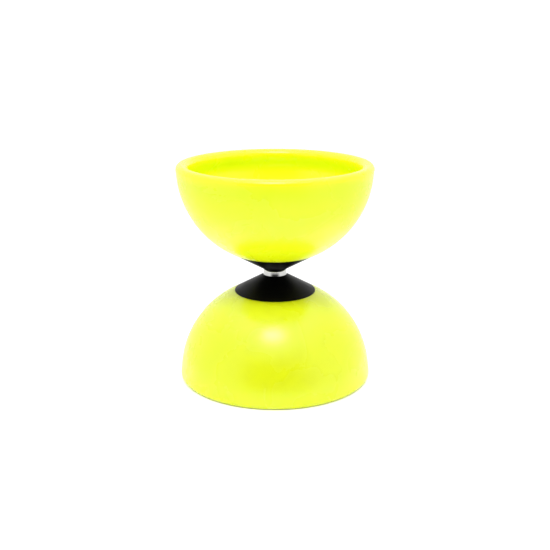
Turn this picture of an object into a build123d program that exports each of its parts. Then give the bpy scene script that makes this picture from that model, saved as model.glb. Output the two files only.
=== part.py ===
"""A diabolo: two soft moulded cups, mouth outwards, on a steel axle whose middle
sleeve turns freely on two ball bearings and a one-way roller clutch.

Millimetres. +Z runs along the axle, and the origin is at the centre of the ring
on which the lower cup stands. The two halves are the same parts: each one is
drawn above the middle plane of the axle, and the lower ones are turned over.
"""

from build123d import *
import math
import os

# ---- Overall ----
OVERALL_HEIGHT = 132.6
CUP_DIAMETER = 117.4

# ---- Black cones between the cups ----
CONE_GAP = 4.0            # between the small ends of the two cones, where the string runs
CONE_LIP_WALL = 0.85      # wall round the counterbore at the small end
CONE_LIP_ROUND = 0.15
CONE_FLANGE_RADIUS = 24.6
CONE_FLANGE_EDGE = 0.4    # height of the flange's upright edge
CONE_HEIGHT = 10.2        # from the small end to the face that the cup sits on
BOSS_RADIUS = 9.0         # spigot on the cone that passes through the cup's floor

# ---- Cups ----
CUP_WALL = 3.6
CUP_FLOOR = 4.0           # thickness clamped between the cone and the washer
CUP_FLOOR_FILLET = 6.0
CUP_RIM_WIDTH = 7.2
CUP_RIM_LAND = 0.8        # flat part of the rim, between its rounded edges
CUP_RIM_OUTER_ROUND = 2.8
CUP_LIP_DEPTH = 13.6      # height over which the wall swells into the rim
CUP_FLARE = 6.0           # degrees that the wall leans out where it meets the rim
CUP_FLARE_LENGTH = 5.0    # straight part of the wall, next to the rim
SEAT_LEDGE = 0.5          # how far the cup's flat seat shows past the cone's flange
BOSS_CLEARANCE = 0.1

# ---- Axle shaft ----
JOURNAL_RADIUS = 2.5      # bearing seats and threaded ends
SHAFT_SHOULDER = 0.5      # step up to the ground middle, on which the clutch rollers run
SHAFT_HOLE_CLEARANCE = 0.05
THREAD_SHOWING = 1.5      # shaft beyond the nut
SHAFT_CHAMFER = 0.4

# ---- One-way roller clutch, in the middle of the sleeve ----
CLUTCH_LENGTH = 12.0
CLUTCH_BEARING_GAP = 0.2
CLUTCH_WALL = 0.6
CLUTCH_RAMP_WALL = 0.42   # what is left of the shell behind each ramp pocket
CLUTCH_LIP_WALL = 0.4
CLUTCH_LIP_CLEARANCE = 0.3
ROLLER_RADIUS = 0.7
ROLLER_COUNT = 7
ROLLER_PLAY = 0.03
RAMP_PLAY = 0.15          # how much larger each ramp pocket is than its roller
RAMP_TURN = 2.0           # degrees that a pocket is turned away from its roller
CLUTCH_CAGE_PLAY = 0.15
CLUTCH_CAGE_END_GAP = 0.1
CLUTCH_CAGE_END_BAR = 0.8
CAGE_WINDOW_PLAY = 0.1    # at each end of a roller
SPRING_SPACE = 0.57       # between a roller and the far side of its window
LEAF_THICKNESS = 0.1
LEAF_HEIGHT = 0.6
LEAF_END_GAP = 1.6        # how much shorter than its roller a leaf is, at each end
LEAF_CLEARANCE = 0.03

# ---- Ball bearings, one at each end of the sleeve ----
BEARING_WIDTH = 4.0
BEARING_INNER_WALL = 0.75
BEARING_OUTER_WALL = 0.65
RACE_DEPTH = 0.15
BALL_COUNT = 9
BALL_PLAY = 0.03
BALL_CAGE_CLEARANCE = 0.2
BALL_CAGE_BACK = 0.6      # cage depth behind the balls
BALL_CAGE_FRONT = 0.1     # cage depth in front of the ball centres
BALL_POCKET_PLAY = 0.04
SHIELD_THICKNESS = 0.2
SHIELD_BITE = 0.2         # how deep the shield's edge sits in the outer ring
SHIELD_CLEARANCE = 0.1    # between the shield and the inner ring

# ---- Steel sleeve that the string runs on ----
SLEEVE_WALL = 1.2
SLEEVE_BAND_HEIGHT = 1.0  # how far the edges of the band between the cones stand up
SLEEVE_GROOVE_DEPTH = 0.3 # hollow in the middle of the band
SLEEVE_SIDE_GAP = 0.2     # between the band and each cone
SLEEVE_RADIAL_GAP = 0.25  # between the body and the cone's counterbore

# ---- Spacers, washers and nuts ----
SPACER_THICKNESS = 0.6
SPACER_INSET = 0.05       # how much smaller the spacer is than the bearing's inner ring
WASHER_MARGIN = 8.0       # cup floor showing round the washer
WASHER_THICKNESS = 1.8
WASHER_HOLE_CLEARANCE = 0.15
WASHER_EDGE_ROUND = 0.4
NUT_WALL = 1.5            # from the thread to the flats
NUT_HEX_HEIGHT = 3.8
NUT_COLLAR_HEIGHT = 1.2
NUT_COLLAR_WALL = 0.5
NUT_COLLAR_INSET = 0.3    # how far the collar stands in from the flats
NUT_CHAMFER = 0.45
INSERT_HEIGHT = 1.5
INSERT_LIP = 0.25         # how far the collar is rolled over the insert

# ---- Radii that follow from the fits ----
SHAFT_RADIUS = JOURNAL_RADIUS + SHAFT_SHOULDER
SHAFT_HOLE = JOURNAL_RADIUS + SHAFT_HOLE_CLEARANCE
ROLLER_CIRCLE = SHAFT_RADIUS + ROLLER_RADIUS + ROLLER_PLAY
RAMP_RADIUS = ROLLER_RADIUS + RAMP_PLAY
SLEEVE_BORE = ROLLER_CIRCLE + RAMP_RADIUS + CLUTCH_RAMP_WALL
CLUTCH_INSIDE = SLEEVE_BORE - CLUTCH_WALL
BEARING_INNER_LAND = JOURNAL_RADIUS + BEARING_INNER_WALL
BEARING_OUTER_LAND = SLEEVE_BORE - BEARING_OUTER_WALL
BALL_CIRCLE = (BEARING_INNER_LAND + BEARING_OUTER_LAND) / 2
BALL_RADIUS = (BEARING_OUTER_LAND - BEARING_INNER_LAND) / 2 + RACE_DEPTH
SHIELD_OUTER = BEARING_OUTER_LAND + SHIELD_BITE
SLEEVE_BODY = SLEEVE_BORE + SLEEVE_WALL
SLEEVE_BAND = SLEEVE_BODY + SLEEVE_BAND_HEIGHT
COUNTERBORE = SLEEVE_BODY + SLEEVE_RADIAL_GAP
CONE_SMALL_RADIUS = COUNTERBORE + CONE_LIP_WALL
SEAT_RADIUS = CONE_FLANGE_RADIUS + SEAT_LEDGE
RIM_RADIUS = CUP_DIAMETER / 2
RIM_INNER_RADIUS = RIM_RADIUS - CUP_RIM_WIDTH
RIM_INNER_ROUND = CUP_RIM_WIDTH - CUP_RIM_LAND - CUP_RIM_OUTER_ROUND
NUT_FLAT = JOURNAL_RADIUS + NUT_WALL
NUT_CORNER = NUT_FLAT / math.cos(math.pi / 6)
COLLAR_RADIUS = NUT_FLAT - NUT_COLLAR_INSET
INSERT_RADIUS = COLLAR_RADIUS - NUT_COLLAR_WALL

# ---- Heights above the middle plane ----
MIDDLE = OVERALL_HEIGHT / 2
CONE_SMALL_END = CONE_GAP / 2
CUP_SEAT = CONE_SMALL_END + CONE_HEIGHT
CUP_INSIDE = CUP_SEAT + CUP_FLOOR
BAND_EDGE = CONE_SMALL_END - SLEEVE_SIDE_GAP
SHOULDER = CLUTCH_LENGTH / 2 + CLUTCH_BEARING_GAP
SLEEVE_END = SHOULDER + BEARING_WIDTH
BALL_PLANE = SHOULDER + BEARING_WIDTH / 2
COUNTERBORE_FLOOR = SLEEVE_END + SPACER_THICKNESS
WASHER_TOP = CUP_INSIDE + WASHER_THICKNESS
HEX_TOP = WASHER_TOP + NUT_HEX_HEIGHT
NUT_TOP = HEX_TOP + NUT_COLLAR_HEIGHT
INSERT_TOP = NUT_TOP - INSERT_LIP
SHAFT_END = NUT_TOP + THREAD_SHOWING
CLUTCH_CAGE_END = CLUTCH_LENGTH / 2 - CLUTCH_LIP_WALL - CLUTCH_CAGE_END_GAP
WINDOW_END = CLUTCH_CAGE_END - CLUTCH_CAGE_END_BAR
ROLLER_END = WINDOW_END - CAGE_WINDOW_PLAY

# ---- The cup's wall: an arc from the seat's edge, then straight and flared up to the rim's round ----
FLARE_ANGLE = math.radians(CUP_FLARE)
FLARE_UP = Vector(math.sin(FLARE_ANGLE), math.cos(FLARE_ANGLE))
FLARE_OUT = Vector(math.cos(FLARE_ANGLE), -math.sin(FLARE_ANGLE))
OUTER_ROUND_CENTRE = Vector(RIM_RADIUS - CUP_RIM_OUTER_ROUND, MIDDLE - CUP_RIM_OUTER_ROUND)
FLARE_TOP = OUTER_ROUND_CENTRE + FLARE_OUT * CUP_RIM_OUTER_ROUND
ARC_TOP = FLARE_TOP - FLARE_UP * CUP_FLARE_LENGTH
WALL_CHORD = ARC_TOP - Vector(SEAT_RADIUS, CUP_SEAT)
WALL_ARC = WALL_CHORD.length**2 / (2 * WALL_CHORD.dot(FLARE_OUT))
WALL_CENTRE = ARC_TOP - FLARE_OUT * WALL_ARC
INNER_ARC = WALL_ARC - CUP_WALL


def inner_wall_radius(height):
    """Radius of the inside wall at a height above the middle plane, below the swelling at the lip."""
    return WALL_CENTRE.X + math.sqrt(INNER_ARC**2 - (WALL_CENTRE.Y - height) ** 2)


LIP_FOOT = Vector(inner_wall_radius(MIDDLE - CUP_LIP_DEPTH), MIDDLE - CUP_LIP_DEPTH)
LIP_ANGLE = math.asin((WALL_CENTRE.Y - LIP_FOOT.Y) / INNER_ARC)
CUP_FLOOR_RADIUS = inner_wall_radius(CUP_INSIDE)
WASHER_RADIUS = CUP_FLOOR_RADIUS - WASHER_MARGIN


def ring(outer, inner, low, high):
    """A plain ring about Z between two heights."""
    centre = Pos(0, 0, (low + high) / 2)
    return centre * (Cylinder(outer, high - low) - Cylinder(inner, high - low))


def rod(radius, low, high):
    """A plain rod about Z between two heights."""
    return Pos(0, 0, (low + high) / 2) * Cylinder(radius, high - low)


def turned(edges):
    """The solid swept by a closed outline of radius and height, turned about Z."""
    outline = make_face(Plane.XZ * Curve(edges))
    return revolve(outline, Axis.Z)


def around(count, radius, height, piece, first=0.0):
    """Copies of a piece, evenly spaced on a circle about Z."""
    step = 360.0 / count
    return [Rot(Z=first + i * step) * Pos(radius, 0, height) * piece for i in range(count)]


def cup():
    """Bowl with an even wall that swells into a rounded rim, and a flat seat and floor."""
    hole = BOSS_RADIUS + BOSS_CLEARANCE
    lip_slope = Vector(math.sin(LIP_ANGLE), math.cos(LIP_ANGLE))
    lip_pull = CUP_LIP_DEPTH / 3
    lip_top = Vector(RIM_INNER_RADIUS, MIDDLE - RIM_INNER_ROUND)
    outer_wall = TangentArc(ARC_TOP, (SEAT_RADIUS, CUP_SEAT), tangent=-FLARE_UP)
    flare = Line(ARC_TOP, FLARE_TOP)
    outer_round = TangentArc(FLARE_TOP, (OUTER_ROUND_CENTRE.X, MIDDLE), tangent=FLARE_UP)
    inner_round = RadiusArc((RIM_INNER_RADIUS + RIM_INNER_ROUND, MIDDLE), lip_top, -RIM_INNER_ROUND)
    land = Line(outer_round @ 1, inner_round @ 0)
    lip = Bezier(lip_top, lip_top - Vector(0, lip_pull), LIP_FOOT + lip_slope * lip_pull, LIP_FOOT)
    inner_wall = TangentArc(LIP_FOOT, (CUP_FLOOR_RADIUS, CUP_INSIDE), tangent=-lip_slope)
    foot = Polyline(
        (CUP_FLOOR_RADIUS, CUP_INSIDE),
        (hole, CUP_INSIDE),
        (hole, CUP_SEAT),
        (SEAT_RADIUS, CUP_SEAT),
    )
    bowl = turned([outer_wall, flare, outer_round, land, inner_round, lip, inner_wall, foot])
    floor = bowl.faces().filter_by(Plane.XY).group_by(Axis.Z)[1]
    return fillet(floor.edges().sort_by(SortBy.RADIUS)[-1], CUP_FLOOR_FILLET)


def cone():
    """Hub that spreads from the string groove to the cup, with a spigot through the cup's floor."""
    body = turned([
        Polyline(
            (CONE_SMALL_RADIUS, CONE_SMALL_END),
            (CONE_FLANGE_RADIUS, CUP_SEAT - CONE_FLANGE_EDGE),
            (CONE_FLANGE_RADIUS, CUP_SEAT),
            (BOSS_RADIUS, CUP_SEAT),
            (BOSS_RADIUS, CUP_INSIDE),
            (SHAFT_HOLE, CUP_INSIDE),
            (SHAFT_HOLE, COUNTERBORE_FLOOR),
            (COUNTERBORE, COUNTERBORE_FLOOR),
            (COUNTERBORE, CONE_SMALL_END),
            (CONE_SMALL_RADIUS, CONE_SMALL_END),
        )
    ])
    small_end = body.faces().sort_by(Axis.Z)[0]
    lip = small_end.edges().sort_by(SortBy.RADIUS)[-1]
    return fillet(lip, CONE_LIP_ROUND)


def shaft():
    """Ground middle for the clutch, with a thinner end each way for bearing, cone and nut."""
    ends = rod(JOURNAL_RADIUS, -SHAFT_END, SHAFT_END)
    tips = ends.faces().sort_by(Axis.Z)
    ends = chamfer([tips[0].edges()[0], tips[-1].edges()[0]], SHAFT_CHAMFER)
    return rod(SHAFT_RADIUS, -SHOULDER, SHOULDER) + ends


def sleeve():
    """Tube with a raised, hollow-ground band that guides the string."""
    groove = ThreePointArc(
        (SLEEVE_BAND, -BAND_EDGE), (SLEEVE_BAND - SLEEVE_GROOVE_DEPTH, 0), (SLEEVE_BAND, BAND_EDGE)
    )
    tube = Polyline(
        (SLEEVE_BAND, BAND_EDGE),
        (SLEEVE_BODY, BAND_EDGE),
        (SLEEVE_BODY, SLEEVE_END),
        (SLEEVE_BORE, SLEEVE_END),
        (SLEEVE_BORE, -SLEEVE_END),
        (SLEEVE_BODY, -SLEEVE_END),
        (SLEEVE_BODY, -BAND_EDGE),
        (SLEEVE_BAND, -BAND_EDGE),
    )
    return turned([groove, tube])


def race():
    """The round channel that the balls run in, cut from both rings."""
    return Pos(0, 0, BALL_PLANE) * Torus(BALL_CIRCLE, BALL_RADIUS + BALL_PLAY)


def bearing_inner_ring():
    return ring(BEARING_INNER_LAND, JOURNAL_RADIUS, SHOULDER, SLEEVE_END) - race()


def bearing_outer_ring():
    """Ring with a race in the middle and a shallow recess at each end for its shields."""
    body = ring(SLEEVE_BORE, BEARING_OUTER_LAND, SHOULDER, SLEEVE_END) - race()
    body -= rod(SHIELD_OUTER, SHOULDER, SHOULDER + SHIELD_THICKNESS)
    return body - rod(SHIELD_OUTER, SLEEVE_END - SHIELD_THICKNESS, SLEEVE_END)


def bearing_shields():
    """Two thin discs snapped into the outer ring, clear of the inner ring."""
    hole = BEARING_INNER_LAND + SHIELD_CLEARANCE
    return [
        ring(SHIELD_OUTER, hole, SHOULDER, SHOULDER + SHIELD_THICKNESS),
        ring(SHIELD_OUTER, hole, SLEEVE_END - SHIELD_THICKNESS, SLEEVE_END),
    ]


def bearing_balls():
    return around(BALL_COUNT, BALL_CIRCLE, BALL_PLANE, Sphere(BALL_RADIUS))


def bearing_cage():
    """Crown cage: a moulded ring whose pockets open towards the middle of the axle."""
    crown = ring(
        BEARING_OUTER_LAND - BALL_CAGE_CLEARANCE,
        BEARING_INNER_LAND + BALL_CAGE_CLEARANCE,
        BALL_PLANE - BALL_CAGE_FRONT,
        BALL_PLANE + BALL_RADIUS + BALL_CAGE_BACK,
    )
    for pocket in around(BALL_COUNT, BALL_CIRCLE, BALL_PLANE, Sphere(BALL_RADIUS + BALL_POCKET_PLAY)):
        crown -= pocket
    return crown


def clutch_shell():
    """Drawn steel cup with turned-in lips, and a ramp pocket over each roller."""
    half = CLUTCH_LENGTH / 2
    shell = ring(SLEEVE_BORE, SHAFT_RADIUS + CLUTCH_LIP_CLEARANCE, -half, half)
    shell -= rod(CLUTCH_INSIDE, CLUTCH_LIP_WALL - half, half - CLUTCH_LIP_WALL)
    ramp = Cylinder(RAMP_RADIUS, 2 * WINDOW_END)
    for pocket in around(ROLLER_COUNT, ROLLER_CIRCLE, 0, ramp, first=RAMP_TURN):
        shell -= pocket
    return shell


def clutch_rollers():
    return around(ROLLER_COUNT, ROLLER_CIRCLE, 0, Cylinder(ROLLER_RADIUS, 2 * ROLLER_END))


def clutch_cage():
    """Moulded ring with a window for each roller and its leaf spring."""
    cage = ring(
        CLUTCH_INSIDE - CLUTCH_CAGE_PLAY,
        SHAFT_RADIUS + CLUTCH_CAGE_PLAY,
        -CLUTCH_CAGE_END,
        CLUTCH_CAGE_END,
    )
    near_side = -ROLLER_RADIUS - ROLLER_PLAY
    far_side = ROLLER_RADIUS + SPRING_SPACE
    cutter = Box(4 * ROLLER_RADIUS, far_side - near_side, 2 * WINDOW_END)
    window = Pos(0, (near_side + far_side) / 2, 0) * cutter
    for opening in around(ROLLER_COUNT, ROLLER_CIRCLE, 0, window):
        cage -= opening
    return cage


def clutch_springs():
    """Bowed leaves that fill the space between each roller and the far side of its window."""
    back = ROLLER_RADIUS + SPRING_SPACE - LEAF_CLEARANCE
    front = back - LEAF_THICKNESS
    bow = front - ROLLER_RADIUS - LEAF_CLEARANCE
    half = ROLLER_END - LEAF_END_GAP
    back_arc = ThreePointArc((back, -half), (back - bow, 0), (back, half))
    front_arc = ThreePointArc((front, half), (front - bow, 0), (front, -half))
    outline = Curve([
        back_arc,
        Line(back_arc @ 1, front_arc @ 0),
        front_arc,
        Line(front_arc @ 1, back_arc @ 0),
    ])
    leaf = extrude(make_face(Plane.YZ * outline), LEAF_HEIGHT / 2, both=True)
    return around(ROLLER_COUNT, ROLLER_CIRCLE, 0, leaf)


def spacer():
    """Shim that keeps the cone off the sleeve and presses on the bearing's inner ring."""
    return ring(BEARING_INNER_LAND - SPACER_INSET, SHAFT_HOLE, SLEEVE_END, COUNTERBORE_FLOOR)


def washer():
    """Wide washer that clamps the cup's floor against the cone."""
    disc = ring(WASHER_RADIUS, JOURNAL_RADIUS + WASHER_HOLE_CLEARANCE, CUP_INSIDE, WASHER_TOP)
    top_edge = disc.faces().sort_by(Axis.Z)[-1].edges().sort_by(SortBy.RADIUS)[-1]
    return fillet(top_edge, WASHER_EDGE_ROUND)


def nut():
    """Hexagon lock nut with a round collar that holds a plastic ring."""
    straight = NUT_HEX_HEIGHT - NUT_CHAMFER
    hexagon = extrude(RegularPolygon(NUT_FLAT, 6, major_radius=False), NUT_HEX_HEIGHT)
    bevel = Cone(
        NUT_CORNER,
        NUT_FLAT - NUT_CHAMFER,
        NUT_CHAMFER,
        align=(Align.CENTER, Align.CENTER, Align.MIN),
    )
    blank = rod(NUT_CORNER, 0, straight) + Pos(0, 0, straight) * bevel
    body = Pos(0, 0, WASHER_TOP) * (hexagon & blank)
    body += rod(COLLAR_RADIUS, HEX_TOP, NUT_TOP)
    body -= rod(INSERT_RADIUS, INSERT_TOP - INSERT_HEIGHT, INSERT_TOP)
    body -= rod(INSERT_RADIUS - INSERT_LIP, INSERT_TOP, NUT_TOP)
    return body - rod(JOURNAL_RADIUS, WASHER_TOP, NUT_TOP)


def nut_insert():
    """Plastic ring that grips the thread."""
    return ring(INSERT_RADIUS, JOURNAL_RADIUS, INSERT_TOP - INSERT_HEIGHT, INSERT_TOP)


def write(name, piece):
    """Writes one node, moved up so that the lower rim stands on the ground plane."""
    solids = piece if isinstance(piece, list) else [piece]
    placed = [Pos(0, 0, MIDDLE) * solid for solid in solids]
    shape = placed[0] if len(placed) == 1 else Compound(children=placed)
    export_step(shape, f"parts/{name}.step")


def write_pair(name, piece):
    """Writes a piece of the upper half, and the same piece turned over for the lower half."""
    solids = piece if isinstance(piece, list) else [piece]
    write(f"upper_{name}", solids)
    write(f"lower_{name}", [Rot(X=180) * solid for solid in solids])


os.makedirs("parts", exist_ok=True)

write_pair("cup", cup())
write_pair("cone", cone())
write_pair("washer", washer())
write_pair("nut", nut())
write_pair("nut_insert", nut_insert())
write_pair("spacer", spacer())
write_pair("bearing_inner_ring", bearing_inner_ring())
write_pair("bearing_outer_ring", bearing_outer_ring())
write_pair("bearing_balls", bearing_balls())
write_pair("bearing_cage", bearing_cage())
write_pair("bearing_shields", bearing_shields())

write("axle_shaft", shaft())
write("string_sleeve", sleeve())
write("clutch_shell", clutch_shell())
write("clutch_rollers", clutch_rollers())
write("clutch_cage", clutch_cage())
write("clutch_springs", clutch_springs())
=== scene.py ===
"""A free-wheel diabolo, put together from its axle outwards, standing on a white table."""

import math

import bmesh
import bpy
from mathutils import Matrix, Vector


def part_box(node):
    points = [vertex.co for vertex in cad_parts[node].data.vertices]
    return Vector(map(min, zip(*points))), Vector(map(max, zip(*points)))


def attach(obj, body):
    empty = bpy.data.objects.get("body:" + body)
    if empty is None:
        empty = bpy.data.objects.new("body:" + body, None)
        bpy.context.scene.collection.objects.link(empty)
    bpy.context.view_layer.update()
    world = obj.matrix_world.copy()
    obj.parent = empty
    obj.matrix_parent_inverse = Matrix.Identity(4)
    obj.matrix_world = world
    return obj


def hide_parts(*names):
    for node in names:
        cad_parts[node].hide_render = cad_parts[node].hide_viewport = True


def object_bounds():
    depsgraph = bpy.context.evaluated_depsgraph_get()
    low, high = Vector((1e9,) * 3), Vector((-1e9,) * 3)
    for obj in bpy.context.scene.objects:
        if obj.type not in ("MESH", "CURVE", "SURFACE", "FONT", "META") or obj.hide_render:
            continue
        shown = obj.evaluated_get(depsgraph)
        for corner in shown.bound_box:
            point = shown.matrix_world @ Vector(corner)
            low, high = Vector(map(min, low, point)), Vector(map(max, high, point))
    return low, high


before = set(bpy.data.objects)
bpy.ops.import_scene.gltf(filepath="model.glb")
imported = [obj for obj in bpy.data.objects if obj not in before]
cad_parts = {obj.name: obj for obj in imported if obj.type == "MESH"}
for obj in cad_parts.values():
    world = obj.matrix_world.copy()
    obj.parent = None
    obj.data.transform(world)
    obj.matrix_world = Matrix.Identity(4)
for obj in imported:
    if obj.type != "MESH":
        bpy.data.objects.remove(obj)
cad_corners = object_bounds()
mm = 0.001
middle = (cad_corners[0][2] + cad_corners[1][2]) / 2

# ------------------------------------------------------------------------------------ axle shaft
# A 6 mm steel rod, centreless ground in the middle where the clutch rollers run on it, and turned
# down to 5 mm each side for the bearings. Both ends carry a rolled M5 thread for the lock nuts.
# Every length from here on is in millimetres above the middle of the axle.
journal_radius = 2.5
ground_radius = 3.0
shoulder_height = 6.2
thread_start = 13.0
thread_pitch = 0.8
thread_depth = 0.49
thread_crest = 0.125
thread_flank = 0.625
thread_runout = 1.2
thread_samples = 12
shaft_length = (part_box("axle_shaft")[1].z - middle) / mm
shaft_chamfer = 0.4
upper_and_lower = (("upper", False), ("lower", True))


def lathe(name, outline, steps=192, closed=True, turned_over=False):
    """A mesh of revolution about the axle.

    outline(angle) lists points of radius and height; closed joins the last point to the first. The
    pieces of the lower half are the upper ones turned over about X, as in the real thing.
    """
    bm = bmesh.new()
    side = -1 if turned_over else 1
    columns = []
    for i in range(steps):
        angle = math.tau * i / steps
        across, along = math.cos(angle), side * math.sin(angle)
        columns.append([
            bm.verts.new((radius * across * mm, radius * along * mm, middle + side * height * mm))
            for radius, height in outline(angle)
        ])
    count = len(columns[0])
    for i in range(steps):
        here, beside = columns[i], columns[(i + 1) % steps]
        for k in range(count if closed else count - 1):
            up = (k + 1) % count
            bm.faces.new((here[k], beside[k], beside[up], here[up]))
    bmesh.ops.remove_doubles(bm, verts=bm.verts, dist=1e-4 * mm)
    bmesh.ops.dissolve_degenerate(bm, edges=bm.edges, dist=1e-5 * mm)
    bmesh.ops.recalc_face_normals(bm, faces=bm.faces)
    for face in bm.faces:
        face.smooth = True
    for edge in bm.edges:
        edge.smooth = edge.calc_face_angle(0.0) < math.radians(32)
    mesh = bpy.data.meshes.new(name)
    bm.to_mesh(mesh)
    bm.free()
    piece = bpy.data.objects.new(name, mesh)
    bpy.context.scene.collection.objects.link(piece)
    return piece


def thread_cut(angle, height):
    """Depth of the right-handed thread at a place on the shaft: flat crests and roots, 60 degree flanks."""
    turn = (height / thread_pitch - angle / math.tau) % 1
    flank = (abs(2 * turn - 1) - thread_crest) / thread_flank
    runout = (height - thread_start) / thread_runout
    return thread_depth * min(max(flank, 0), 1) * min(max(runout, 0), 1)


def shaft_end(angle):
    """One end of the shaft, from its shoulder to the middle of its end face."""
    rows = round((shaft_length - thread_start) / thread_pitch * thread_samples)
    bevel = 0.15
    points = [(ground_radius, shoulder_height - bevel), (ground_radius - bevel, shoulder_height)]
    points += [(journal_radius, shoulder_height), (journal_radius, thread_start)]
    for i in range(1, rows + 1):
        height = thread_start + (shaft_length - thread_start) * i / rows
        chamfered = journal_radius - shaft_chamfer + (shaft_length - height)
        points.append((min(journal_radius - thread_cut(angle, height), chamfered), height))
    return points + [(0, shaft_length)]


def shaft_outline(angle):
    lower = [(radius, -height) for radius, height in reversed(shaft_end(-angle))]
    return lower + shaft_end(angle)


def add(tree, kind, inputs=None, **settings):
    """Adds one node. An input is given a value, or an output of another node to be linked from."""
    made = tree.nodes.new(kind)
    for label, value in settings.items():
        setattr(made, label, value)
    for label, value in (inputs or {}).items():
        if isinstance(value, bpy.types.NodeSocket):
            tree.links.new(value, made.inputs[label])
        else:
            made.inputs[label].default_value = value
    return made


def reckon(tree, operation, first, second=0.0, third=0.0):
    """The result of one Math node."""
    return add(tree, "ShaderNodeMath", {0: first, 1: second, 2: third}, operation=operation).outputs[0]


def stretch(tree, value, low, high, start=0.0, end=1.0):
    """A value that runs from start to end as the one given runs from low to high, and no further."""
    inputs = {"Value": value, "From Min": low, "From Max": high, "To Min": start, "To Max": end}
    return add(tree, "ShaderNodeMapRange", inputs).outputs["Result"]


def blend_colours(tree, share, first, second):
    """The first colour where share is 0 and the second where it is 1."""
    mixer = add(tree, "ShaderNodeMix", {"Factor": share}, data_type="RGBA")
    for socket, colour in ((mixer.inputs[6], first), (mixer.inputs[7], second)):
        if isinstance(colour, bpy.types.NodeSocket):
            tree.links.new(colour, socket)
        else:
            socket.default_value = (*colour, 1)
    return mixer.outputs[2]


def object_place(tree):
    """The place on the piece, in metres, which stays with the piece as it moves."""
    return add(tree, "ShaderNodeTexCoord").outputs["Object"]


def cloud(tree, place, size, detail, distortion=0.0):
    """A soft random pattern whose patches are about size metres across."""
    scale = 1 / size if isinstance(size, float) else reckon(tree, "DIVIDE", 1.0, size)
    inputs = {"Vector": place, "Scale": scale, "Detail": detail, "Distortion": distortion}
    return add(tree, "ShaderNodeTexNoise", inputs).outputs["Fac"]


def effect(name, inputs, outputs):
    """An empty node group with named number inputs and outputs, and its two end nodes."""
    group = bpy.data.node_groups.new(name, "ShaderNodeTree")
    for label, value in inputs.items():
        socket = group.interface.new_socket(label, in_out="INPUT", socket_type="NodeSocketFloat")
        socket.default_value = value
    for label in outputs:
        group.interface.new_socket(label, in_out="OUTPUT", socket_type="NodeSocketFloat")
    return group, group.nodes.new("NodeGroupInput"), group.nodes.new("NodeGroupOutput")


def turning_marks_effect():
    """Fine rings left by a lathe or grinder: they run round the axle on any face of a round piece."""
    group, given, result = effect("turning_marks", {"Spacing": 0.1 * mm}, ("Height", "Shade"))
    place = object_place(group)
    flat = add(group, "ShaderNodeVectorMath", {0: place, 1: (1, 1, 0)}, operation="MULTIPLY")
    radius = add(group, "ShaderNodeVectorMath", {0: flat.outputs[0]}, operation="LENGTH").outputs["Value"]
    height = add(group, "ShaderNodeSeparateXYZ", {0: place}).outputs["Z"]
    where = add(group, "ShaderNodeCombineXYZ", {"X": radius, "Z": height}).outputs[0]
    rings = cloud(group, where, given.outputs["Spacing"], 3.0)
    bands = cloud(group, where, reckon(group, "DIVIDE", given.outputs["Spacing"], 0.12), 1.0)
    group.links.new(rings, result.inputs["Height"])
    group.links.new(stretch(group, bands, 0.35, 0.65), result.inputs["Shade"])
    return group


def scratches_effect():
    """Hairline marks from handling, in two directions, as a mask."""
    sizes = {"Length": 5 * mm, "Width": 0.05 * mm, "Amount": 0.5}
    group, given, result = effect("scratches", sizes, ("Mask",))
    place = object_place(group)
    long = reckon(group, "DIVIDE", 1.0, given.outputs["Length"])
    fine = reckon(group, "DIVIDE", 1.0, given.outputs["Width"])
    across = add(group, "ShaderNodeCombineXYZ", {"X": long, "Y": fine, "Z": fine}).outputs[0]
    limit = reckon(group, "MULTIPLY_ADD", given.outputs["Amount"], -0.22, 0.86)
    masks = []
    for turn in ((0.4, 0.9, 0.3), (1.9, 0.2, 2.3)):
        inputs = {"Vector": place, "Rotation": turn}
        turned = add(group, "ShaderNodeVectorRotate", inputs, rotation_type="EULER_XYZ")
        drawn = add(group, "ShaderNodeVectorMath", {0: turned.outputs[0], 1: across}, operation="MULTIPLY")
        above = reckon(group, "SUBTRACT", cloud(group, drawn.outputs[0], 1.0, 0.0), limit)
        masks.append(stretch(group, above, 0.0, 0.06))
    group.links.new(reckon(group, "MAXIMUM", *masks), result.inputs["Mask"])
    return group


def worn_edges_effect():
    """A mask of the outer edges, broken up as real wear is."""
    group, given, result = effect("worn_edges", {"Amount": 0.5, "Patch": 1.5 * mm}, ("Mask",))
    bend = add(group, "ShaderNodeNewGeometry").outputs["Pointiness"]
    patches = cloud(group, object_place(group), given.outputs["Patch"], 4.0)
    edge = stretch(group, bend, 0.505, 0.56)
    broken = reckon(group, "MULTIPLY", edge, stretch(group, patches, 0.42, 0.62))
    group.links.new(reckon(group, "MULTIPLY", broken, given.outputs["Amount"]), result.inputs["Mask"])
    return group


def smudges_effect():
    """Soft patches where hands and air have dulled a surface."""
    group, given, result = effect("smudges", {"Size": 12 * mm}, ("Mask",))
    patches = cloud(group, object_place(group), given.outputs["Size"], 5.0, distortion=0.6)
    group.links.new(stretch(group, patches, 0.4, 0.66), result.inputs["Mask"])
    return group


turning_marks = turning_marks_effect()
scratches = scratches_effect()
worn_edges = worn_edges_effect()
smudges = smudges_effect()


def finish(name, **constants):
    """A new material. constants set the shader's own sockets, with _ for a space."""
    material = bpy.data.materials.new(name)
    material.use_nodes = True
    tree = material.node_tree
    shader = tree.nodes["Principled BSDF"]
    for label, value in constants.items():
        shader.inputs[label.replace("_", " ").title().replace("Ior", "IOR")].default_value = value
    return material, tree, shader


def use(tree, group, output, **values):
    """One output of a shared effect, placed with this material's own values."""
    inputs = {label.title(): value for label, value in values.items()}
    return add(tree, "ShaderNodeGroup", inputs, node_tree=group).outputs[output]


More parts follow.
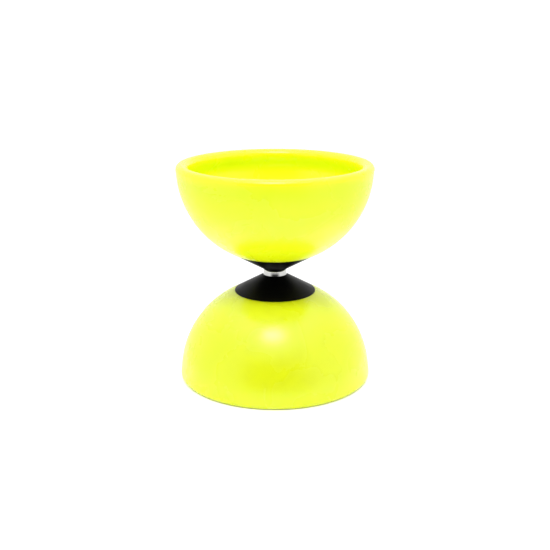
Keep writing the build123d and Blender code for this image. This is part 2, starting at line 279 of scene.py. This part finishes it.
def relief(tree, shader, height, depth):
    """Raises the surface by a height map, depth metres at most."""
    bump = add(tree, "ShaderNodeBump", {"Height": height, "Distance": depth, "Strength": 1.0})
    tree.links.new(bump.outputs["Normal"], shader.inputs["Normal"])


def metal(name, pale, dark, smooth, rough, lines=0.1 * mm, line_depth=0.002 * mm, marks=0.4, worn=None):
    """A bare or plated metal: machining rings, hairline scratches, dulled patches and brighter edges."""
    material, tree, shader = finish(name, metallic=1.0)
    rings = use(tree, turning_marks, "Height", spacing=lines)
    shade = use(tree, turning_marks, "Shade", spacing=lines)
    dull = use(tree, smudges, "Mask", size=5 * mm)
    hair = use(tree, scratches, "Mask", length=3 * mm, width=0.03 * mm, amount=marks)
    edge = use(tree, worn_edges, "Mask", amount=0.8, patch=0.6 * mm)
    colour = blend_colours(tree, reckon(tree, "MULTIPLY", shade, 0.5), pale, dark)
    colour = blend_colours(tree, reckon(tree, "MULTIPLY", dull, 0.35), colour, dark)
    colour = blend_colours(tree, edge, colour, worn or pale)
    roughness = stretch(tree, dull, 0.0, 1.0, smooth, rough)
    roughness = reckon(tree, "MULTIPLY_ADD", hair, 0.15, roughness)
    tree.links.new(colour, shader.inputs["Base Color"])
    tree.links.new(roughness, shader.inputs["Roughness"])
    relief(tree, shader, reckon(tree, "MULTIPLY_ADD", hair, -0.6, rings), line_depth)
    return material


def put(piece, body, node, material):
    """Gives a finished piece its material and its place in the moving model, and hides the CAD node it
    stands for.
    """
    piece.data.materials.append(material)
    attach(piece, body)
    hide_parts(node)


ground_steel = metal("ground_steel", (0.46, 0.46, 0.48), (0.34, 0.34, 0.37), 0.14, 0.30, lines=0.06 * mm)
shaft = lathe("turned_axle_shaft", shaft_outline, steps=96, closed=False)
put(shaft, "cups_and_axle", "axle_shaft", ground_steel)


# ---------------------------------------------------------------------------------- roller clutch
# A bought drawn-cup clutch, pressed into the sleeve. The shell is drawn from case-hardened strip,
# the rollers are ground bearing steel, and a glass-filled nylon cage holds them and their leaf springs.
def dress(node, material):
    """Gives a piece whose CAD shape is already right its real finish."""
    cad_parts[node].material_slots[0].material = material


def moulded(name, colour, tint, rough, grain, depth):
    """A moulded plastic: fine grain from the mould, slight flow marks and dulled patches."""
    material, tree, shader = finish(name, ior=1.5)
    skin = cloud(tree, object_place(tree), grain, 4.0)
    flow = use(tree, smudges, "Mask", size=30 * grain)
    hair = use(tree, scratches, "Mask", length=2 * mm, width=0.04 * mm, amount=0.3)
    mixed = blend_colours(tree, reckon(tree, "MULTIPLY", flow, 0.6), colour, tint)
    tree.links.new(mixed, shader.inputs["Base Color"])
    roughness = reckon(tree, "MULTIPLY_ADD", flow, 0.1, rough)
    tree.links.new(reckon(tree, "MULTIPLY_ADD", hair, 0.1, roughness), shader.inputs["Roughness"])
    relief(tree, shader, skin, depth)
    return material


clutch_steel = metal(
    "drawn_clutch_steel", (0.50, 0.49, 0.48), (0.36, 0.35, 0.35), 0.28, 0.45, lines=0.2 * mm
)
roller_steel = metal("ground_roller_steel", (0.72, 0.72, 0.73), (0.60, 0.60, 0.62), 0.07, 0.16, marks=0.2)
spring_steel = metal("tempered_spring_steel", (0.46, 0.42, 0.37), (0.30, 0.29, 0.33), 0.22, 0.35)
cage_nylon = moulded(
    "glass_filled_nylon", (0.055, 0.048, 0.040), (0.085, 0.078, 0.068), 0.5, grain=0.15 * mm, depth=0.01 * mm
)
dress("clutch_shell", clutch_steel)
dress("clutch_rollers", roller_steel)
dress("clutch_springs", spring_steel)
dress("clutch_cage", cage_nylon)


# ---------------------------------------------------------------------------------- ball bearings
# Two 5 x 10 x 4 mm bearings, one in each end of the sleeve. Rings and balls are honed chrome steel,
# the crown cage is moulded nylon, and thin pressed shields close both faces.
bearing_steel = metal(
    "honed_bearing_steel", (0.66, 0.66, 0.67), (0.52, 0.52, 0.54), 0.10, 0.22, lines=0.05 * mm
)
ball_steel = metal(
    "polished_ball_steel", (0.78, 0.78, 0.79), (0.70, 0.70, 0.71), 0.04, 0.10, line_depth=0.0, marks=0.1
)
shield_steel = metal(
    "pressed_shield_steel", (0.58, 0.58, 0.60), (0.46, 0.46, 0.48), 0.25, 0.38, lines=0.15 * mm
)

for half, _ in upper_and_lower:
    dress(f"{half}_bearing_inner_ring", bearing_steel)
    dress(f"{half}_bearing_outer_ring", bearing_steel)
    dress(f"{half}_bearing_balls", ball_steel)
    dress(f"{half}_bearing_shields", shield_steel)
    dress(f"{half}_bearing_cage", cage_nylon)


# ---------------------------------------------------------------------------------- string sleeve
# A turned and polished steel tube over the bearings and clutch. Only its raised band shows, between
# the two cones; the band is hollow-ground, so that the string runs to the middle of it.
sleeve_end = (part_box("string_sleeve")[1].z - middle) / mm
sleeve_bore = 5.0
sleeve_body = 6.2
band_radius = 7.2
band_edge = 1.8
groove_depth = 0.3
break_edge = 0.12


def rounded(corners, steps=5):
    """Points of an outline through corners of radius, height and round. A round of 0 stays sharp."""
    points = []
    for i, (radius, height, size) in enumerate(corners):
        here = Vector((radius, height))
        if not size:
            points.append((radius, height))
            continue
        back = (Vector(corners[i - 1][:2]) - here).normalized()
        onward = (Vector(corners[(i + 1) % len(corners)][:2]) - here).normalized()
        half_angle = back.angle(onward) / 2
        centre = here + (back + onward).normalized() * size / math.sin(half_angle)
        reach = size / math.tan(half_angle)
        start, end = here + back * reach - centre, here + onward * reach - centre
        for k in range(steps + 1):
            spoke = start.lerp(end, k / steps).normalized() * size
            points.append((centre.x + spoke.x, centre.y + spoke.y))
    return points


def arc(centre, size, start, end, steps):
    """Points of an arc in the outline's plane, between two angles in degrees from level."""
    angles = [math.radians(start + (end - start) * k / steps) for k in range(steps + 1)]
    return [(centre[0] + size * math.cos(a), centre[1] + size * math.sin(a)) for a in angles]


def groove_points():
    """The hollow face of the band, from its lower edge to its upper edge."""
    half = band_edge - break_edge
    bend = (half**2 + groove_depth**2) / (2 * groove_depth)
    swing = math.degrees(math.asin(half / bend))
    centre = (band_radius - groove_depth + bend, 0)
    return arc(centre, bend, 180 + swing, 180 - swing, 24)


def sleeve_outline(_):
    top = rounded([
        (band_radius - break_edge, band_edge, 0),
        (sleeve_body, band_edge, 0),
        (sleeve_body, sleeve_end, 0.2),
        (sleeve_bore, sleeve_end, 0.15),
        (sleeve_bore, 0, 0),
    ])
    bottom = [(radius, -height) for radius, height in reversed(top[:-1])]
    return groove_points() + top + bottom


sleeve_steel = metal(
    "polished_sleeve_steel", (0.62, 0.62, 0.60), (0.52, 0.52, 0.50), 0.08, 0.15, lines=0.09 * mm,
    line_depth=0.004 * mm,
)
sleeve = lathe("polished_string_sleeve", sleeve_outline)
put(sleeve, "sleeve", "string_sleeve", sleeve_steel)


# ---------------------------------------------------------------------------------------- spacers
# A hardened shim between each bearing's inner ring and the cone, which keeps the cone off the
# sleeve. Punched from strip and zinc plated, like the washers and nuts.
zinc_plate = metal(
    "bright_zinc_plate", (0.44, 0.45, 0.48), (0.31, 0.32, 0.36), 0.20, 0.36, lines=0.35 * mm, marks=0.6,
    worn=(0.56, 0.56, 0.57),
)
spacer_low, spacer_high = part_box("upper_spacer")
spacer_bottom = (spacer_low.z - middle) / mm
spacer_top = (spacer_high.z - middle) / mm
spacer_radius = 3.2
shaft_hole = 2.55


def spacer_outline(_):
    return rounded([
        (spacer_radius, spacer_bottom, 0.1),
        (spacer_radius, spacer_top, 0.1),
        (shaft_hole, spacer_top, 0.05),
        (shaft_hole, spacer_bottom, 0.05),
    ], 3)


for half, over in upper_and_lower:
    spacer = lathe(f"{half}_shim", spacer_outline, steps=96, turned_over=over)
    put(spacer, "cups_and_axle", f"{half}_spacer", zinc_plate)


# ------------------------------------------------------------------------------------------ cones
# Wide hubs, turned from black nylon bar: a straight cone from the string gap out to a thin flange,
# and behind it a spigot through the cup's floor. The sleeve turns in the counterbore at the small end.
cone_low, cone_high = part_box("upper_cone")
cone_small_end = (cone_low.z - middle) / mm
cone_top = (cone_high.z - middle) / mm
flange_radius = cone_high.y / mm
cup_seat = (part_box("upper_cup")[0].z - middle) / mm
flange_edge = 0.4
counterbore = 6.45
counterbore_floor = sleeve_end + 0.6
small_radius = 7.3
boss_radius = 9.0


def cone_outline(_):
    return rounded([
        (small_radius, cone_small_end, 0.15),
        (flange_radius, cup_seat - flange_edge, 0.15),
        (flange_radius, cup_seat, 0.08),
        (boss_radius, cup_seat, 0.2),
        (boss_radius, cone_top, 0.2),
        (shaft_hole, cone_top, 0.2),
        (shaft_hole, counterbore_floor, 0),
        (counterbore, counterbore_floor, 0.1),
        (counterbore, cone_small_end, 0.1),
    ])


def nylon_finish():
    """Black nylon with the fine feed marks of the lathe, a dry sheen and paler, rubbed edges."""
    feed = 0.16 * mm
    material, tree, shader = finish("turned_black_nylon", specular_ior_level=0.05)
    rings = use(tree, turning_marks, "Height", spacing=feed)
    bands = use(tree, turning_marks, "Shade", spacing=feed)
    dull = use(tree, smudges, "Mask", size=9 * mm)
    hair = use(tree, scratches, "Mask", length=4 * mm, width=0.04 * mm, amount=0.35)
    edge = use(tree, worn_edges, "Mask", amount=0.5, patch=0.8 * mm)
    colour = blend_colours(tree, bands, (0.0010, 0.0010, 0.0009), (0.0018, 0.0017, 0.0015))
    colour = blend_colours(tree, reckon(tree, "MULTIPLY", hair, 0.25), colour, (0.004, 0.004, 0.0036))
    colour = blend_colours(tree, edge, colour, (0.005, 0.005, 0.0046))
    tree.links.new(colour, shader.inputs["Base Color"])
    roughness = stretch(tree, dull, 0.0, 1.0, 0.36, 0.44)
    tree.links.new(reckon(tree, "MULTIPLY_ADD", hair, 0.12, roughness), shader.inputs["Roughness"])
    relief(tree, shader, reckon(tree, "MULTIPLY_ADD", hair, -0.4, rings), 0.006 * mm)
    return material


black_nylon = nylon_finish()
for half, over in upper_and_lower:
    cone = lathe(f"{half}_turned_cone", cone_outline, steps=256, turned_over=over)
    put(cone, "cups_and_axle", f"{half}_cone", black_nylon)


# ------------------------------------------------------------------------------------------- cups
# Soft, slightly flexible bowls, injection moulded in one shot from fluorescent yellow plastic. The
# wall is even and swells into a thick rounded rim, which carries the weight and takes the knocks.
rim_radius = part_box("upper_cup")[1].y / mm
rim_top = (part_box("upper_cup")[1].z - middle) / mm
rim_width = 7.2
rim_land = 0.8
outer_round = 2.8
inner_round = rim_width - rim_land - outer_round
lip_depth = 13.6
scuffed_depth = 9.0
flare = 6.0
flare_length = 5.0
wall = 3.6
floor_height = cone_top
floor_fillet = 6.0
seat_radius = flange_radius + 0.5
boss_hole = boss_radius + 0.1


def lip_points(start, foot, slope):
    """The inside of the thick lip: straight down from the rim's round, then easing into the wall."""
    pull = lip_depth / 3
    handles = (start, start - Vector((0, pull)), foot + slope * pull, foot)
    points = []
    for k in range(1, 16):
        t = k / 16
        weights = ((1 - t) ** 3, 3 * t * (1 - t) ** 2, 3 * t**2 * (1 - t), t**3)
        points.append(tuple(sum((w * h for w, h in zip(weights, handles)), Vector((0, 0)))))
    return points


def cup_outline(_):
    """Outside wall and rim first, then down the inside to the floor and out through the hub hole."""
    lean = math.radians(flare)
    out = Vector((math.cos(lean), -math.sin(lean)))
    up = Vector((math.sin(lean), math.cos(lean)))
    round_centre = Vector((rim_radius - outer_round, rim_top - outer_round))
    arc_top = round_centre + out * outer_round - up * flare_length
    chord = arc_top - Vector((seat_radius, cup_seat))
    bend = chord.length_squared / (2 * chord.dot(out))
    centre = arc_top - out * bend
    foot = math.degrees(math.asin((centre.y - cup_seat) / bend))
    outside = arc(centre, bend, -foot, -flare, 72) + arc(round_centre, outer_round, -flare, 90, 14)
    inner_edge = rim_radius - rim_width
    rim_inside = arc((inner_edge + inner_round, rim_top - inner_round), inner_round, 90, 180, 14)
    inner_bend = bend - wall
    lip_angle = math.asin((centre.y - rim_top + lip_depth) / inner_bend)
    lip_foot = centre + Vector((math.cos(lip_angle), -math.sin(lip_angle))) * inner_bend
    slope = Vector((math.sin(lip_angle), math.cos(lip_angle)))
    lip = lip_points(Vector(rim_inside[-1]), lip_foot, slope)
    fillet_spoke = inner_bend - floor_fillet
    fillet_angle = math.asin((centre.y - floor_height - floor_fillet) / fillet_spoke)
    fillet_centre = (centre.x + fillet_spoke * math.cos(fillet_angle), floor_height + floor_fillet)
    inside = arc(centre, inner_bend, -math.degrees(lip_angle), -math.degrees(fillet_angle), 60)
    fillet = arc(fillet_centre, floor_fillet, -math.degrees(fillet_angle), -90, 10)
    hub = rounded([
        (fillet_centre[0], floor_height, 0),
        (boss_hole, floor_height, 0.15),
        (boss_hole, cup_seat, 0.15),
        (seat_radius, cup_seat, 0),
    ])
    return outside + rim_inside + lip + inside + fillet[1:] + hub[1:-1]


def cup_finish():
    """Fluorescent soft plastic: light spreads through the wall, the moulded skin is satin, and a faint
    painted glow lifts the shading.
    """
    bright, deep = (0.655, 0.75, 0.006), (0.63, 0.725, 0.005)
    material, tree, shader = finish(
        "fluorescent_yellow_plastic_painted_glow",
        ior=1.50,
        subsurface_weight=1.0,
        subsurface_radius=(1.0, 0.95, 0.12),
        subsurface_scale=14.0 * mm,
        # Painted glow: the plastic gives off a little light of its own, which evens out its shading.
        emission_strength=0.05,
    )
    place = object_place(tree)
    skin = cloud(tree, place, 0.45 * mm, 4.0)
    ripple = cloud(tree, place, 9 * mm, 2.0)
    flow = use(tree, smudges, "Mask", size=25 * mm)
    hair = use(tree, scratches, "Mask", length=7 * mm, width=0.06 * mm, amount=0.25)
    height = add(tree, "ShaderNodeSeparateXYZ", {0: place}).outputs["Z"]
    from_middle = reckon(tree, "ABSOLUTE", reckon(tree, "SUBTRACT", height, middle))
    near_rim = stretch(tree, from_middle, (rim_top - scuffed_depth) * mm, rim_top * mm)
    rubbed = reckon(tree, "MULTIPLY", hair, stretch(tree, near_rim, 0.0, 1.0, 0.04, 0.50))
    colour = blend_colours(tree, flow, bright, deep)
    colour = blend_colours(tree, rubbed, colour, (0.72, 0.79, 0.15))
    tree.links.new(colour, shader.inputs["Base Color"])
    # The painted glow takes the plastic's own colour, rubbed scratches included.
    tree.links.new(colour, shader.inputs["Emission Color"])
    roughness = stretch(tree, flow, 0.0, 1.0, 0.25, 0.31)
    roughness = reckon(tree, "MULTIPLY_ADD", rubbed, 0.25, roughness)
    tree.links.new(roughness, shader.inputs["Roughness"])
    raised = reckon(tree, "MULTIPLY_ADD", ripple, 4.0, skin)
    relief(tree, shader, reckon(tree, "MULTIPLY_ADD", rubbed, -0.5, raised), 0.008 * mm)
    return material


yellow_plastic = cup_finish()
for half, over in upper_and_lower:
    cup = lathe(f"{half}_moulded_cup", cup_outline, steps=320, turned_over=over)
    put(cup, "cups_and_axle", f"{half}_cup", yellow_plastic)


# ---------------------------------------------------------------------------------------- washers
# Wide zinc-plated steel washers, punched from sheet, that spread the nut's grip over the soft floor
# of the cup. The punch leaves the upper edge rolled over and the lower one crisp.
washer_low, washer_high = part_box("upper_washer")
washer_bottom = (washer_low.z - middle) / mm
washer_top = (washer_high.z - middle) / mm
washer_radius = washer_high.y / mm
washer_hole = 2.65


def washer_outline(_):
    return rounded([
        (washer_radius, washer_bottom, 0.08),
        (washer_radius, washer_top, 0.4),
        (washer_hole, washer_top, 0.2),
        (washer_hole, washer_bottom, 0.08),
    ])


for half, over in upper_and_lower:
    washer = lathe(f"{half}_wide_washer", washer_outline, turned_over=over)
    put(washer, "cups_and_axle", f"{half}_washer", zinc_plate)


# ---------------------------------------------------------------------------------- nuts and rings
# M5 lock nuts, cold formed and zinc plated: a hexagon bevelled at both faces, and a thin collar
# rolled in over a nylon ring that grips the thread.
nut_flat = 4.0
nut_hex_height = 3.8
nut_bevel = math.radians(30)
nut_face_radius = 3.75
collar_radius = 3.7
insert_radius = 3.2
insert_height = 1.5
insert_lip = 0.25
nut_top = (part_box("upper_nut")[1].z - middle) / mm


def nut_outline(angle):
    """Section through the nut at one angle. The hexagon is widest at a corner and narrowest at a flat."""
    sixth = math.pi / 3
    out = nut_flat / math.cos((angle + sixth / 2) % sixth - sixth / 2)
    slope = (out - nut_face_radius) * math.tan(nut_bevel)
    hex_top = washer_top + nut_hex_height
    insert_top = nut_top - insert_lip
    collar = rounded([
        (collar_radius + 0.1, hex_top, 0),
        (collar_radius, hex_top + 0.15, 0.1),
        (collar_radius, nut_top, 0.35),
        (insert_radius - insert_lip, nut_top, 0.1),
        (insert_radius - insert_lip, insert_top, 0),
        (insert_radius, insert_top, 0),
        (insert_radius, insert_top - insert_height, 0),
        (journal_radius + 0.35, insert_top - insert_height, 0),
        (journal_radius, insert_top - insert_height - 0.35, 0),
    ], 4)
    return [
        (journal_radius, washer_top + 0.35),
        (journal_radius + 0.35, washer_top),
        (nut_face_radius, washer_top),
        (out, washer_top + slope),
        (out, hex_top - slope),
        (nut_face_radius, hex_top),
    ] + collar


def insert_outline(_):
    top = nut_top - insert_lip
    return rounded([
        (insert_radius, top - insert_height, 0.1),
        (insert_radius, top, 0.05),
        (journal_radius, top, 0.25),
        (journal_radius, top - insert_height, 0.1),
    ], 4)


insert_nylon = moulded("natural_nylon", (0.70, 0.71, 0.66), (0.62, 0.62, 0.55), 0.35, 0.2 * mm, 0.01 * mm)
for half, over in upper_and_lower:
    nut = lathe(f"{half}_lock_nut", nut_outline, steps=144, turned_over=over)
    put(nut, "cups_and_axle", f"{half}_nut", zinc_plate)
    grip = lathe(f"{half}_nylon_ring", insert_outline, steps=96, turned_over=over)
    put(grip, "cups_and_axle", f"{half}_nut_insert", insert_nylon)


# -------------------------------------------------------------------------- table, light and camera
# A small round light table with a white acrylic top, lit a little from below, in a white studio that
# is open and dim behind the camera. The top lies a hair below the rim, so that the faces don't fight.
table_radius = 0.135
table_drop = 0.02 * mm


def light_table():
    bm = bmesh.new()
    bmesh.ops.create_circle(bm, cap_ends=True, segments=128, radius=table_radius)
    mesh = bpy.data.meshes.new("light_table")
    bm.to_mesh(mesh)
    bm.free()
    table = bpy.data.objects.new("light_table", mesh)
    table.location.z = -table_drop
    bpy.context.scene.collection.objects.link(table)
    material, tree, shader = finish("white_acrylic", roughness=0.6, emission_strength=0.06)
    haze = cloud(tree, object_place(tree), 1 / 9, 2.0)
    white = blend_colours(tree, haze, (0.90, 0.90, 0.90), (0.93, 0.93, 0.93))
    tree.links.new(white, shader.inputs["Base Color"])
    tree.links.new(white, shader.inputs["Emission Color"])
    table.data.materials.append(material)


def by_height(tree, height, stops):
    """Brightness by how high a direction points. stops pairs degrees above level with a brightness."""
    brightest = max(level for _, level in stops)
    ramp = add(tree, "ShaderNodeValToRGB", {"Fac": reckon(tree, "MULTIPLY_ADD", height, 0.5, 0.5)})
    marks = ramp.color_ramp.elements
    while len(marks) < len(stops):
        marks.new(1.0)
    for mark, (degrees, level) in zip(marks, stops):
        mark.position = math.sin(math.radians(degrees)) / 2 + 0.5
        mark.color = (level / brightest,) * 3 + (1,)
    return reckon(tree, "MULTIPLY", ramp.outputs["Color"], brightest)


def white_studio():
    """White walls, a brighter ceiling, a dim opening behind the camera; all plain white seen directly."""
    world = bpy.data.worlds.new("white_studio")
    world.use_nodes = True
    tree = world.node_tree
    way = add(tree, "ShaderNodeTexCoord").outputs["Generated"]
    height = add(tree, "ShaderNodeSeparateXYZ", {0: way}).outputs["Z"]
    flat = add(tree, "ShaderNodeVectorMath", {0: way, 1: (1, 1, 0)}, operation="MULTIPLY").outputs[0]
    heading = add(tree, "ShaderNodeVectorMath", {0: flat}, operation="NORMALIZE").outputs[0]
    facing = add(tree, "ShaderNodeVectorMath", {0: heading, 1: (0, -1, 0)}, operation="DOT_PRODUCT")
    opening = stretch(tree, facing.outputs["Value"], math.cos(math.radians(50)), math.cos(math.radians(22)))
    walls = by_height(tree, height, ((-90, 1.30), (-30, 1.16), (36, 1.16), (58, 2.15)))
    dim = by_height(tree, height, (
        (-90, 1.30), (-34, 1.30), (-20, 0.35), (-4, 0.35), (4, 0.04), (26, 0.04), (40, 1.30), (58, 2.15),
    ))
    strength = reckon(tree, "MULTIPLY_ADD", reckon(tree, "SUBTRACT", dim, walls), opening, walls)
    seen = add(tree, "ShaderNodeLightPath").outputs["Is Camera Ray"]
    tree.links.new(reckon(tree, "MAXIMUM", strength, seen), tree.nodes["Background"].inputs["Strength"])
    tree.nodes["Background"].inputs["Color"].default_value = (1.0, 1.0, 1.0, 1)
    bpy.context.scene.world = world


def aimed(name, data, azimuth, elevation, distance):
    """A light or camera that looks at the object's middle. Angles are in degrees, azimuth 0 is the front."""
    made = bpy.data.objects.new(name, data)
    turn, rise = math.radians(azimuth), math.radians(elevation)
    away = Vector((math.sin(turn) * math.cos(rise), -math.cos(turn) * math.cos(rise), math.sin(rise)))
    made.location = Vector((0, 0, middle)) + away * distance
    made.rotation_euler = away.to_track_quat("Z", "Y").to_euler()
    bpy.context.scene.collection.objects.link(made)
    return made


def soft_box():
    data = bpy.data.lights.new("front_soft_box", "AREA")
    data.shape = "RECTANGLE"
    data.size, data.size_y = 0.42, 0.20
    data.energy = 6.4
    aimed("front_soft_box", data, azimuth=-4, elevation=61, distance=1.2)


def camera():
    data = bpy.data.cameras.new("camera")
    data.lens = 59.3
    data.sensor_width = 36.0
    data.shift_y = -0.008
    data.clip_start = 0.01
    bpy.context.scene.camera = aimed("camera", data, azimuth=0, elevation=16.2, distance=0.554)


light_table()
white_studio()
soft_box()
camera()
bpy.context.scene.view_settings.view_transform = "Standard"
